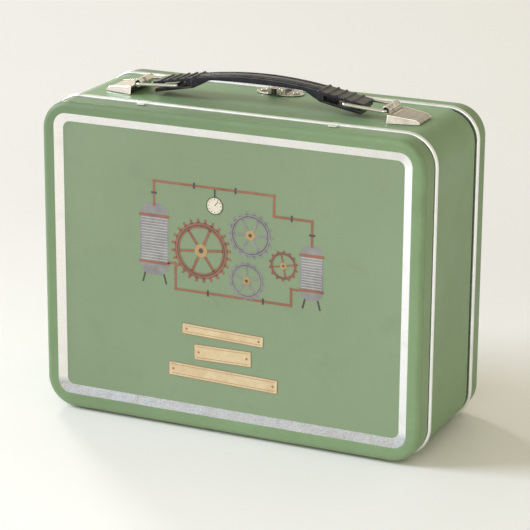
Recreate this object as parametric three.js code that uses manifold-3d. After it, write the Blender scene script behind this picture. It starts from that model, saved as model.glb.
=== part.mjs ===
// Metal lunch box: a sheet steel band with a fixed front pan, a rear pan that opens on two bottom hinges,
// bare steel rims, a top latch, and a plastic carrying handle that folds down on two wire bails.
// Millimetres. X runs along the width, -Y is the front, +Z is up. The box stands on its rims at z = 0.
import * as THREE from "three";
import { mergeVertices } from "three/addons/utils/BufferGeometryUtils.js";
import Module from "manifold-3d";

const wasm = await Module();
wasm.setup();

// ---- driving dimensions ----
const HALF_W = 109.6; // pan and band walls, outside
const HALF_H = 86.3;
const CORNER = 16.5;
const SHEET = 0.5;
const GAP = 0.3; // between pieces that touch
const RIM_R = 1.3;
const PAN_DEPTH = 14.5; // face to rim centre
const RIM_SPAN = 61.8; // front rim centre to rear rim centre
const EDGE_R = 3; // rounding between pan face and pan wall
const BORDER = 7.1; // pan wall to the frame round the recessed panel
const FRAME = 5.1; // width of the sloping frame
const RECESS = 2.2;
const PANEL_RISE = 0.8; // the recessed panel sits this much above the middle
const FRAME_CORNER = 7.5;
const PANEL_CORNER = 4;

const RIM_Y = RIM_SPAN / 2;
const FACE_Y = RIM_Y + PAN_DEPTH;
const MID_Z = HALF_H + RIM_R;
const TOP_Z = MID_Z + HALF_H; // top of the band
const UNDER_Z = MID_Z - HALF_H; // underside of the band

const STEP_IN = 1.7; // where a pan passes inside its rim
const SIDE_SLIT = 2.8; // the band's rear edge stops this far from the rear rim, but meets it along the top
const NECK_IN = 3; // band neck that the rear pan closes over
const NECK_END = RIM_Y + 3.5;
const FRONT_COLLAR = 6; // front pan reaches this far past its rim, inside the band

const HINGE_X = 62;
const HINGE_HALF = 15;
const HINGE_Z = 2;
const KNUCKLE_R = 1.9;
const HINGE_PIN_R = 0.9;
const PIN_HEAD = { radius: 1.5, thick: 0.6, clear: 0.2 };
const HINGE_BORE_R = 1.05;
const MIDDLE_KNUCKLE_HALF = 4.7;
const LEAF = { low: 0.4, high: 1.0, reach: 12.5, rivetX: 9, rivetY: 8 };

// Heights marked H are above the band's top.
const HANDLE_Y = -5; // the handle and its clips sit a little forward of the middle
const CLIPS_X = 3.1; // and a little to the right
const PIVOT_X = 71.5; // from the middle of the clips
const PIVOT_H = 5.4;
const BAIL = { wire: 0.95, length: 23.5, armY: 8.9, bend: 1.6, restRise: 1.6 };
const BARREL = { outer: 2, bore: 1.25, half: 7.6 };

// A clip's corners, along X from its pivot and along Y from the handle's middle line.
const CLIP = { inner: -2.5, outer: -18.8, innerHalf: 11.4, outerHalf: 8.2, innerH: 4.4, outerH: 2.5 };
const CLIP_SHEET = 0.8;
const CLIP_TAB = { x: [-10.5, -7.5], edge: 9, thick: 0.8, below: SHEET + GAP, foot: 3 };

const GRIP_X = 1; // the grip rests slid towards the left clip
const GRIP = { halfY: 7.2, end: 60.6, lowerEnd: 59.4, web: 36, plateTop: 12.2, plateFall: 0.187, wall: 1.4 };
const SLOT = { middle: 48, middleH: 7, fall: 0.15, half: 1.75, from: 43.8, to: 58.2, lip: 0.7 };
const GRIP_RIB = { count: 5, first: 36.7, step: 4.7, half: 0.7, high: 0.6 };

const LATCH_Y = 21.5;
const LATCH = { halfX: 13.5, halfY: 7.2, low: 0.3, high: 1.0, pivotY: 16.4, pivotH: 2.9, leverHalf: 3.3 };
const LATCH_EAR = { radius: 1.6, thick: 0.8 };
const LATCH_PIN = { radius: 0.6, bore: 0.75, proud: 0.5 };

// ---- colours ----
const finish = (color, metalness, roughness) => ({ color, metalness, roughness });
const PAINT = finish("#7d9470", 0.1, 0.5);
const STEEL = finish("#c9c7bf", 0.9, 0.32);
const ZINC = finish("#bdb3a2", 0.9, 0.38);
const BLACK = finish("#26262a", 0, 0.45);

// ---- solids ----
function solidOf(geometry) {
  const bare = geometry.index ? geometry.toNonIndexed() : geometry.clone();
  bare.deleteAttribute("normal");
  bare.deleteAttribute("uv");
  const merged = mergeVertices(bare, 1e-4);
  return new wasm.Manifold(
    new wasm.Mesh({
      numProp: 3,
      vertProperties: merged.attributes.position.array,
      triVerts: new Uint32Array(merged.index.array),
    }),
  );
}

const join = (first, ...rest) => rest.reduce((whole, s) => whole.add(s), first);
const cut = (first, ...rest) => rest.reduce((whole, s) => whole.subtract(s), first);

const root = new THREE.Group();
const leftSide = new THREE.Group(); // handle pieces, drawn from the middle of the clips
const rightSide = new THREE.Group(); // the same, mirrored
leftSide.position.x = CLIPS_X;
rightSide.position.x = CLIPS_X;
rightSide.scale.x = -1;
const rearSide = new THREE.Group(); // holds pieces drawn for the front, mirrored
rearSide.scale.y = -1;
root.add(leftSide, rightSide, rearSide);

function piece(name, solid, { color, metalness, roughness }, group = root) {
  const made = solid.getMesh();
  const indexed = new THREE.BufferGeometry();
  indexed.setAttribute("position", new THREE.BufferAttribute(made.vertProperties, 3));
  indexed.setIndex(new THREE.BufferAttribute(made.triVerts, 1));
  const geometry = indexed.toNonIndexed();
  geometry.computeVertexNormals();
  const mesh = new THREE.Mesh(
    geometry,
    new THREE.MeshStandardMaterial({ color, metalness, roughness, flatShading: true }),
  );
  mesh.name = name;
  group.add(mesh);
  return mesh;
}

function block([x0, x1], [y0, y1], [z0, z1]) {
  const g = new THREE.BoxGeometry(x1 - x0, y1 - y0, z1 - z0);
  return solidOf(g.translate((x0 + x1) / 2, (y0 + y1) / 2, (z0 + z1) / 2));
}

function rodX(radius, [x0, x1], y, z, sides = 20) {
  const g = new THREE.CylinderGeometry(radius, radius, x1 - x0, sides).rotateZ(Math.PI / 2);
  return solidOf(g.translate((x0 + x1) / 2, y, z));
}

function rodY(radius, [y0, y1], x, z, sides = 20) {
  const g = new THREE.CylinderGeometry(radius, radius, y1 - y0, sides);
  return solidOf(g.translate(x, (y0 + y1) / 2, z));
}

function rodZ(radius, [z0, z1], x, y, sides = 16) {
  const g = new THREE.CylinderGeometry(radius, radius, z1 - z0, sides).rotateX(Math.PI / 2);
  return solidOf(g.translate(x, y, (z0 + z1) / 2));
}

const sorted = (a, b) => [Math.min(a, b), Math.max(a, b)];
const spanOf = (middle, half) => [middle - half, middle + half];

const X = new THREE.Vector3(1, 0, 0);
const Y = new THREE.Vector3(0, 1, 0);
const Z = new THREE.Vector3(0, 0, 1);
function extruded(shape, depth, across, up, along, start) {
  const g = new THREE.ExtrudeGeometry(shape, { depth, bevelEnabled: false, curveSegments: 8 });
  g.applyMatrix4(new THREE.Matrix4().makeBasis(across, up, along));
  return solidOf(g.translate(start.x, start.y, start.z));
}
const alongX = (shape, [x0, x1]) => extruded(shape, x1 - x0, Y, Z, X, X.clone().multiplyScalar(x0));
const alongZ = (shape, [z0, z1]) => extruded(shape, z1 - z0, X, Y, Z, Z.clone().multiplyScalar(z0));
const alongY = (shape, [y0, y1]) =>
  extruded(shape, y1 - y0, X, Z, Y.clone().negate(), Y.clone().multiplyScalar(y1));
const outline = (points) => new THREE.Shape(points.map(([a, b]) => new THREE.Vector2(a, b)));

// ---- loops round the box ----
// A loop is a rounded rectangle standing across Y, `inset` inside the walls' outer surface.
const CORNER_STEPS = 6;
function loop(inset, y, corner = CORNER - inset, rise = 0) {
  const points = [];
  for (let quarter = 0; quarter < 4; quarter++) {
    const sideX = quarter === 0 || quarter === 3 ? 1 : -1;
    const sideZ = quarter < 2 ? 1 : -1;
    for (let step = 0; step <= CORNER_STEPS; step++) {
      const a = (Math.PI / 2) * (quarter + step / CORNER_STEPS);
      points.push(
        sideX * (HALF_W - inset - corner) + corner * Math.cos(a),
        y,
        MID_Z + rise + sideZ * (HALF_H - inset - corner) + corner * Math.sin(a),
      );
    }
  }
  return points;
}

// Skins a row of loops. Closed: the last loop meets the first. Open: both ends are capped.
function skinned(loops, closed) {
  const perLoop = loops[0].length / 3;
  const triangles = [];
  const pairs = closed ? loops.length : loops.length - 1;
  for (let i = 0; i < pairs; i++) {
    const a = i * perLoop;
    const b = ((i + 1) % loops.length) * perLoop;
    for (let k = 0; k < perLoop; k++) {
      const next = (k + 1) % perLoop;
      triangles.push(a + k, b + k, a + next, b + k, b + next, a + next);
    }
  }
  if (!closed) {
    const last = (loops.length - 1) * perLoop;
    for (let k = 1; k < perLoop - 1; k++) {
      triangles.push(0, k, k + 1, last, last + k + 1, last + k);
    }
  }
  const g = new THREE.BufferGeometry();
  g.setAttribute("position", new THREE.BufferAttribute(new Float32Array(loops.flat()), 3));
  g.setIndex(triangles);
  return solidOf(g);
}

// ---- pans ----
// The front pan's skin from the recessed panel outwards; `deep` sets it back by the sheet.
function panFace(deep) {
  const face = -FACE_Y + deep;
  const loops = [
    loop(BORDER + FRAME, face + RECESS, PANEL_CORNER, PANEL_RISE),
    loop(BORDER, face, FRAME_CORNER, PANEL_RISE),
  ];
  const roundSteps = 4;
  for (let step = 0; step <= roundSteps; step++) {
    const a = (Math.PI / 2) * (step / roundSteps);
    const radius = EDGE_R - deep;
    const inset = deep + radius * (1 - Math.sin(a));
    loops.push(loop(inset, -FACE_Y + deep + radius * (1 - Math.cos(a))));
  }
  return loops;
}

// A pan with its wall stepping inwards under the rim and ending at `collarEnd`.
function pan(collarEnd) {
  const shoulder = -RIM_Y - RIM_R - GAP;
  return skinned(
    [
      ...panFace(0),
      loop(0, shoulder),
      loop(STEP_IN, shoulder),
      loop(STEP_IN, collarEnd),
      loop(STEP_IN + SHEET, collarEnd),
      loop(STEP_IN + SHEET, shoulder - SHEET),
      loop(SHEET, shoulder - SHEET),
      ...panFace(SHEET).reverse(),
    ],
    false,
  );
}

// An eight-sided tube round the box, flat where it stands.
function rim() {
  const sides = 8;
  const reach = RIM_R / Math.cos(Math.PI / sides);
  const loops = [];
  for (let side = 0; side < sides; side++) {
    const a = (2 * Math.PI * (side + 0.5)) / sides;
    loops.push(loop(-reach * Math.sin(a), -RIM_Y + reach * Math.cos(a)));
  }
  return skinned(loops.reverse(), true);
}

const hingeSpots = [-HINGE_X, HINGE_X];

// Tabs that clinch the front rim to the front pan, above and below.
const TAB = { left: -54.4, right: 55.0, half: 2, y: [-34.9, -32.8], thick: 0.7 };
const TAB_STEM = { half: 1, y: [-34.4, -33.6], depth: 1.3 };
function tab(x, top) {
  const side = top ? 1 : -1;
  const wall = top ? TOP_Z : UNDER_Z;
  const level = (a, b) => sorted(wall + side * a, wall + side * b);
  return join(
    block(spanOf(x, TAB.half), TAB.y, level(GAP, GAP + TAB.thick)),
    block(spanOf(x, TAB_STEM.half), TAB_STEM.y, level(-TAB_STEM.depth, GAP + TAB.thick)),
  );
}
function tabSlot(x, top) {
  const wall = top ? TOP_Z : UNDER_Z;
  const y = [TAB_STEM.y[0] - GAP, TAB_STEM.y[1] + GAP];
  return block(spanOf(x, TAB_STEM.half + GAP), y, [wall - 2, wall + 2]);
}
const tabs = [
  ["upper_left", TAB.left, true],
  ["upper_right", TAB.right, true],
  ["lower_left", TAB.left, false],
  ["lower_right", TAB.right, false],
];

// ---- rivets ----
// A rivet from a flat head at `headZ` to a clinched head inside the box; `up` is 1 or -1, the way it points.
const RIVET = { head: 0.3, headR: 2.1, shankR: 1, holeR: 1.3, tail: 0.6, tailR: 1.9, seat: 0.2 };
function rivet(x, y, headZ, grip, up) {
  const level = (a, b) => sorted(headZ + up * a, headZ + up * b);
  return join(
    rodZ(RIVET.headR, level(0, RIVET.head), x, y),
    rodZ(RIVET.shankR, level(0, grip + RIVET.tail), x, y),
    rodZ(RIVET.tailR, level(grip, grip + RIVET.tail), x, y),
  );
}
const rivetHole = (x, y, z) => rodZ(RIVET.holeR, [z - 3, z + 3], x, y);

const leafRivets = [];
for (const x of hingeSpots)
  for (const side of [-1, 1])
    for (const leaf of [-1, 1])
      leafRivets.push({ x: x + side * LEAF.rivetX, y: RIM_Y + leaf * LEAF.rivetY, leaf, side });
const latchRivets = [-9.4, 9.4].map((x) => ({ x, y: LATCH_Y + 0.5 }));

// ---- handle clips ----
// Each clip is a hollow wedge that falls away outwards, with a rolled barrel for the bail at its inner end.
// It is drawn for the left end, outwards along -X from the pivot.
const atClip = (x) => x - PIVOT_X;
function clipWedge(sheet) {
  const outer = CLIP.outer + sheet;
  const plan = outline([
    [atClip(outer), HANDLE_Y - CLIP.outerHalf + sheet],
    [atClip(outer), HANDLE_Y + CLIP.outerHalf - sheet],
    [atClip(CLIP.inner), HANDLE_Y + CLIP.innerHalf - sheet],
    [atClip(CLIP.inner), HANDLE_Y - CLIP.innerHalf + sheet],
  ]);
  const bottom = sheet ? TOP_Z - 1 : TOP_Z + GAP;
  const body = alongZ(plan, [bottom, TOP_Z + 2 * CLIP.innerH]);
  const topEdge = TOP_Z - sheet;
  const side = outline([
    [atClip(CLIP.outer - 1), TOP_Z - 2],
    [atClip(CLIP.inner + 1), TOP_Z - 2],
    [atClip(CLIP.inner + 1), topEdge + CLIP.innerH],
    [atClip(CLIP.inner), topEdge + CLIP.innerH],
    [atClip(CLIP.outer + 2), topEdge + CLIP.outerH],
    [atClip(CLIP.outer), topEdge + CLIP.outerH - 1.6],
    [atClip(CLIP.outer - 1), topEdge + CLIP.outerH - 2.2],
  ]);
  return body.intersect(alongY(side, spanOf(HANDLE_Y, CLIP.innerHalf + 1)));
}
function clipTab(side) {
  const edge = HANDLE_Y + side * CLIP_TAB.edge;
  const footY = sorted(edge, edge - side * CLIP_TAB.foot);
  const under = TOP_Z - CLIP_TAB.below;
  const foot = [under - CLIP_TAB.thick, under];
  return join(
    block(CLIP_TAB.x.map(atClip), spanOf(edge, CLIP_TAB.thick / 2), [foot[0], TOP_Z + 1]),
    block(CLIP_TAB.x.map(atClip), footY, foot),
  );
}
function clipSlots(end) {
  const place = (x) => CLIPS_X - end * atClip(x);
  const x = sorted(place(CLIP_TAB.x[0] - GAP), place(CLIP_TAB.x[1] + GAP));
  return [-1, 1].map((side) => {
    const y = spanOf(HANDLE_Y + side * CLIP_TAB.edge, CLIP_TAB.thick / 2 + GAP);
    return block(x, y, [TOP_Z - 2, TOP_Z + GAP]);
  });
}
function handleClip() {
  const barrelY = spanOf(HANDLE_Y, BARREL.half);
  const barrel = rodY(BARREL.outer, barrelY, -PIVOT_X, TOP_Z + PIVOT_H, 24);
  const webX = [atClip(CLIP.inner - 1), atClip(-1)];
  const web = block(webX, barrelY, [TOP_Z + CLIP.innerH - 0.7, TOP_Z + PIVOT_H - 0.2]);
  const bore = rodY(BARREL.bore, spanOf(HANDLE_Y, BARREL.half + 2), -PIVOT_X, TOP_Z + PIVOT_H);
  const wedge = cut(clipWedge(0), clipWedge(CLIP_SHEET));
  return cut(join(wedge, web, barrel, clipTab(-1), clipTab(1)), bore);
}

// ---- shell pieces ----
const slots = tabs.map(([, x, top]) => tabSlot(x, top));
piece("front_pan", cut(pan(-RIM_Y + FRONT_COLLAR), ...slots), PAINT);
piece("front_rim", rim(), STEEL);
for (const [name, x, top] of tabs) piece(`rim_tab_${name}`, tab(x, top), STEEL);

const hingeRelief = (x, half, y) => block(spanOf(x, half), y, [-1, 5.6]);
const reliefs = (y) => hingeSpots.map((x) => hingeRelief(x, HINGE_HALF + 1.2, y));

function centreBand() {
  const edge = RIM_Y - RIM_R - GAP;
  const pulled = SIDE_SLIT - GAP;
  const frontEdge = -RIM_Y + RIM_R + GAP;
  const edgeLoop = (inset, y) => {
    const points = loop(inset, y);
    for (let i = 0; i < points.length; i += 3) {
      const onTop = points[i + 2] > TOP_Z - inset - 0.01;
      if (!onTop) points[i + 1] -= pulled;
    }
    return points;
  };
  const tube = skinned(
    [
      loop(0, frontEdge),
      edgeLoop(0, edge),
      edgeLoop(NECK_IN, edge),
      loop(NECK_IN, NECK_END),
      loop(NECK_IN + SHEET, NECK_END),
      edgeLoop(NECK_IN + SHEET, edge - SHEET),
      edgeLoop(SHEET, edge - SHEET),
      loop(SHEET, frontEdge),
    ],
    true,
  );
  return cut(
    tube,
    ...reliefs([edge - pulled, NECK_END + 1]),
    ...clipSlots(-1),
    ...clipSlots(1),
    ...leafRivets.filter((r) => r.leaf < 0).map((r) => rivetHole(r.x, r.y, UNDER_Z)),
    ...latchRivets.map((r) => rivetHole(r.x, r.y, TOP_Z)),
  );
}
piece("centre_band", centreBand(), PAINT);

const rearPan = cut(
  pan(-RIM_Y + RIM_R),
  ...reliefs([-RIM_Y - KNUCKLE_R - 0.5, -RIM_Y + 4]),
  ...leafRivets.filter((r) => r.leaf > 0).map((r) => rivetHole(r.x, -r.y, UNDER_Z)),
);
piece("rear_pan", rearPan, PAINT, rearSide);

// The rear rim is broken at the hinges into a long upper hoop and a short lower bar.
const acrossRim = [-RIM_Y - 4, -RIM_Y + 4];
const rearRim = cut(rim(), ...reliefs(acrossRim));
const lowerZone = block([-HINGE_X, HINGE_X], acrossRim, [-1, 6]);
piece("rear_rim", cut(rearRim, lowerZone), STEEL, rearSide);
piece("rear_rim_lower", rearRim.intersect(lowerZone), STEEL, rearSide);

// ---- hinges ----
function hingeLeaf(x, side) {
  const knuckle = (from, to) => rodX(KNUCKLE_R, [x + from, x + to], RIM_Y, HINGE_Z, 24);
  const reach = sorted(RIM_Y, RIM_Y + side * LEAF.reach);
  const plate = block(spanOf(x, HINGE_HALF), reach, [LEAF.low, LEAF.high]);
  const nearAxis = [RIM_Y - KNUCKLE_R - GAP, RIM_Y + KNUCKLE_R + GAP];
  const middle = MIDDLE_KNUCKLE_HALF;
  const bore = rodX(HINGE_BORE_R, spanOf(x, HINGE_HALF + 1), RIM_Y, HINGE_Z);
  const holes = leafRivets.filter((r) => r.leaf === side).map((r) => rivetHole(r.x, r.y, UNDER_Z));
  if (side > 0) {
    const clearOf = (from, to) => block([x + from, x + to], nearAxis, [-1, 5]);
    const outer = HINGE_HALF + 1;
    const trimmed = cut(plate, clearOf(-outer, -middle), clearOf(middle, outer));
    return cut(join(trimmed, knuckle(-middle, middle)), bore, ...holes);
  }
  const trimmed = cut(plate, block(spanOf(x, middle + GAP), nearAxis, [-1, 5]));
  const outerKnuckles = [knuckle(-HINGE_HALF, -middle - GAP), knuckle(middle + GAP, HINGE_HALF)];
  return cut(join(trimmed, ...outerKnuckles), bore, ...holes);
}
function hingePin(x) {
  const near = HINGE_HALF + PIN_HEAD.clear;
  const far = near + PIN_HEAD.thick;
  const head = (from, to) => rodX(PIN_HEAD.radius, [x + from, x + to], RIM_Y, HINGE_Z);
  const shank = rodX(HINGE_PIN_R, spanOf(x, (near + far) / 2), RIM_Y, HINGE_Z);
  return join(shank, head(-far, -near), head(near, far));
}
for (const x of hingeSpots) {
  const which = x < 0 ? "left" : "right";
  piece(`${which}_hinge_band_leaf`, hingeLeaf(x, -1), STEEL);
  piece(`${which}_hinge_cover_leaf`, hingeLeaf(x, 1), STEEL);
  piece(`${which}_hinge_pin`, hingePin(x), STEEL);
}
const leafStack = UNDER_Z + SHEET + RIVET.seat;
for (const r of leafRivets) {
  const hinge = r.x < 0 ? "left" : "right";
  const leaf = r.leaf < 0 ? "band" : "cover";
  const place = r.side < 0 ? "a" : "b";
  piece(`${hinge}_hinge_${leaf}_rivet_${place}`, rivet(r.x, r.y, 0, leafStack, 1), STEEL);
}

// ---- handle clips and bails ----
const endPieces = [
  ["left", leftSide],
  ["right", rightSide],
];
const clip = handleClip();
for (const [which, group] of endPieces) piece(`${which}_handle_clip`, clip, ZINC, group);

// The middle line of a bail, flat in its own plane: a closed loop with rounded corners, pivot at x = 0.
function bailRings() {
  const corners = [
    [0, -BAIL.armY],
    [BAIL.length, -BAIL.armY],
    [BAIL.length, BAIL.armY],
    [0, BAIL.armY],
  ].map(([x, y]) => new THREE.Vector3(x, y, 0));
  const rings = [];
  corners.forEach((corner, i) => {
    const next = corners[(i + 1) % 4];
    const after = corners[(i + 2) % 4];
    const along = next.clone().sub(corner).normalize();
    const onward = after.clone().sub(next).normalize();
    const from = next.clone().addScaledVector(along, -BAIL.bend);
    const to = next.clone().addScaledVector(onward, BAIL.bend);
    const turn = new THREE.QuadraticBezierCurve3(from, next, to);
    const steps = 5;
    for (let step = 0; step <= steps; step++) {
      rings.push({ point: turn.getPoint(step / steps), tangent: turn.getTangent(step / steps) });
    }
  });
  return rings;
}
function bail() {
  const sides = 10;
  const loops = bailRings().map(({ point, tangent }) => {
    const out = new THREE.Vector3(tangent.y, -tangent.x, 0).normalize();
    const ring = [];
    for (let side = 0; side < sides; side++) {
      const a = (2 * Math.PI * side) / sides;
      const p = point.clone();
      p.addScaledVector(out, BAIL.wire * Math.cos(a)).addScaledVector(Z, BAIL.wire * Math.sin(a));
      ring.push(p.x, p.y, p.z);
    }
    return ring;
  });
  return skinned(loops, true);
}
for (const [which, group] of endPieces) {
  const mesh = piece(`${which}_bail`, bail(), STEEL, group);
  mesh.position.set(-PIVOT_X, HANDLE_Y, TOP_Z + PIVOT_H);
  mesh.rotation.y = -Math.asin(BAIL.restRise / BAIL.length);
}

// ---- grip ----
// A crowned bar with a hollow underside. Each end is a fork: a ribbed upper plate with a lip at its end,
// and a lower plate. The bail's crossbar slides in the slot between them.
const slotH = (x) => SLOT.middleH - SLOT.fall * (x - SLOT.middle);
const plateH = (x) => GRIP.plateTop - GRIP.plateFall * (x - GRIP.web);
// Corners of one half, from the middle outwards; heights are above the band.
const CROWN = [
  [0, 15.1],
  [12, 14.8],
  [20, 14.2],
  [28, 13.3],
];
const ARCH = [
  [GRIP.web, 6.5],
  [33.5, 8],
  [30.7, 9.5],
  [28.3, 11],
  [24, 11.7],
  [0, 12.1],
];
// A closed outline across both halves from the corners of one, given from the middle to the middle.
function bothHalves(half) {
  const other = half.slice(1, -1).map(([x, h]) => [-x, h]);
  return outline([...half.toReversed(), ...other].map(([x, h]) => [x, TOP_Z + h]));
}
function grip() {
  const fork = [
    [GRIP.web, GRIP.plateTop],
    [GRIP.end, plateH(GRIP.end)],
    [GRIP.end, slotH(GRIP.end) - SLOT.lip],
    [SLOT.to, slotH(SLOT.to) - SLOT.lip],
    [SLOT.to, slotH(SLOT.to) + SLOT.half],
    [SLOT.from, slotH(SLOT.from) + SLOT.half],
    [SLOT.from, slotH(SLOT.from) - SLOT.half],
    [GRIP.lowerEnd, slotH(GRIP.lowerEnd) - SLOT.half],
    [GRIP.lowerEnd, 2.2],
  ];
  const across = spanOf(HANDLE_Y, GRIP.halfY);
  const body = alongY(bothHalves([...CROWN, ...fork, ...ARCH]), across);
  const ribs = [];
  for (const side of [-1, 1])
    for (let k = 0; k < GRIP_RIB.count; k++) {
      const x = GRIP_RIB.first + GRIP_RIB.step * k;
      const top = TOP_Z + plateH(x);
      ribs.push(block(spanOf(side * x, GRIP_RIB.half), across, spanOf(top, GRIP_RIB.high)));
    }
  const underCrown = CROWN.map(([x, h]) => [x, h - GRIP.wall]);
  const channel = bothHalves([...underCrown, [28, 5], [0, 5]]);
  const hollow = alongY(channel, spanOf(HANDLE_Y, GRIP.halfY - GRIP.wall));
  return cut(join(body, ...ribs), hollow);
}
piece("handle_grip", grip(), BLACK).position.x = GRIP_X;

// ---- latch ----
const latchAxisZ = TOP_Z + LATCH.pivotH;
const latchBore = () => rodX(LATCH_PIN.bore, spanOf(0, 2 * LATCH.leverHalf), LATCH.pivotY, latchAxisZ);
function latchBase() {
  const oval = new THREE.Shape().absellipse(0, LATCH_Y, LATCH.halfX, LATCH.halfY, 0, 2 * Math.PI);
  const plate = alongZ(oval, [TOP_Z + LATCH.low, TOP_Z + LATCH.high]);
  const ears = [-1, 1].map((side) => {
    const inner = side * (LATCH.leverHalf + GAP);
    const x = sorted(inner, inner + side * LATCH_EAR.thick);
    return join(
      block(x, spanOf(LATCH.pivotY, LATCH_EAR.radius), [TOP_Z + LATCH.low, latchAxisZ]),
      rodX(LATCH_EAR.radius, x, LATCH.pivotY, latchAxisZ),
    );
  });
  const holes = latchRivets.map((r) => rivetHole(r.x, r.y, TOP_Z));
  return cut(join(plate, ...ears), latchBore(), ...holes);
}
piece("latch_base", latchBase(), ZINC);

const latchHeadZ = TOP_Z + LATCH.high + RIVET.seat + RIVET.head;
const latchStack = latchHeadZ - TOP_Z + SHEET + RIVET.seat;
for (const r of latchRivets) {
  const which = r.x < 0 ? "left" : "right";
  piece(`latch_rivet_${which}`, rivet(r.x, r.y, latchHeadZ, latchStack, -1), ZINC);
}

// The lever turns between the ears, reaches back over the rear rim and hooks behind it.
function latchLever() {
  const strip = outline(
    [
      [15.1, 1.9],
      [15.9, 1.5],
      [17.4, 1.5],
      [18.4, 3.5],
      [26, 3.6],
      [31, 2.5],
      [32.5, 1.9],
      [32.7, 0.4],
      [33.6, 0.4],
      [33.6, 2.6],
      [32, 3.8],
      [26, 4.6],
      [16.4, 4.6],
      [15, 3.4],
    ].map(([y, h]) => [y, TOP_Z + h]),
  );
  return cut(alongX(strip, spanOf(0, LATCH.leverHalf)), latchBore());
}
piece("latch_lever", latchLever(), ZINC);

const pinHalf = LATCH.leverHalf + GAP + LATCH_EAR.thick + LATCH_PIN.proud;
piece("latch_pin", rodX(LATCH_PIN.radius, spanOf(0, pinHalf), LATCH.pivotY, latchAxisZ), STEEL);

export default root;
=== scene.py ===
# Metal lunch box: smooth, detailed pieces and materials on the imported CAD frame.
import math

import bmesh
import bpy
from mathutils import Matrix, Vector


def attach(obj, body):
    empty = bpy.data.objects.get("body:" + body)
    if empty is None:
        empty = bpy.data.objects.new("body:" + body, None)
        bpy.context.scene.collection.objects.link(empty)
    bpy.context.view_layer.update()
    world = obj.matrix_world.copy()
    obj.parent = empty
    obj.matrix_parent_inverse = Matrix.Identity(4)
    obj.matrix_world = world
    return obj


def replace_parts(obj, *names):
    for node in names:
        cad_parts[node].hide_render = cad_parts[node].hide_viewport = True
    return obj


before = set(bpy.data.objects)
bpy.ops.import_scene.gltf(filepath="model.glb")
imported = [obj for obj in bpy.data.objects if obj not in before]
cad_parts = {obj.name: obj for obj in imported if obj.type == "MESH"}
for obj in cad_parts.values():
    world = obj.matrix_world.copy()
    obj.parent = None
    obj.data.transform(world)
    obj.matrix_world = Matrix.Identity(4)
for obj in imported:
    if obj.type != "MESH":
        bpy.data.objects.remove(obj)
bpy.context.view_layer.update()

# ---- the CAD's dimensions, in millimetres; -Y is the front ----
HALF_W, HALF_H, CORNER = 109.6, 86.3, 16.5
SHEET, GAP, RIM_R = 0.5, 0.3, 1.3
RIM_Y, FACE_Y = 30.9, 45.4
MID_Z, TOP_Z = 87.6, 173.9
EDGE_R = 3.0
BORDER, FRAME, RECESS, PANEL_RISE = 7.1, 5.1, 2.2, 0.8
FRAME_CORNER, PANEL_CORNER = 7.5, 4.0
STEP_IN, NECK_IN, NECK_END = 1.7, 3.0, 34.4
SIDE_SLIT = 2.8
HINGE_X, HINGE_RELIEF = 62.0, 16.2
HANDLE_Y, CLIPS_X, PIVOT_X, PIVOT_H = -5.0, 3.1, 71.5, 5.4
BAIL_WIRE, BAIL_LENGTH, BAIL_ARM, BAIL_RISE = 0.95, 23.5, 8.9, 1.6
GRIP_X, GRIP_HALF, GRIP_END = 1.0, 7.2, 60.6
LATCH_Y, LATCH_PIVOT_Y, LATCH_PIVOT_H = 21.5, 16.4, 2.9
CORNER_STEPS = 18
WIRE_SIDES = 14
MM = 0.001


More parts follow.
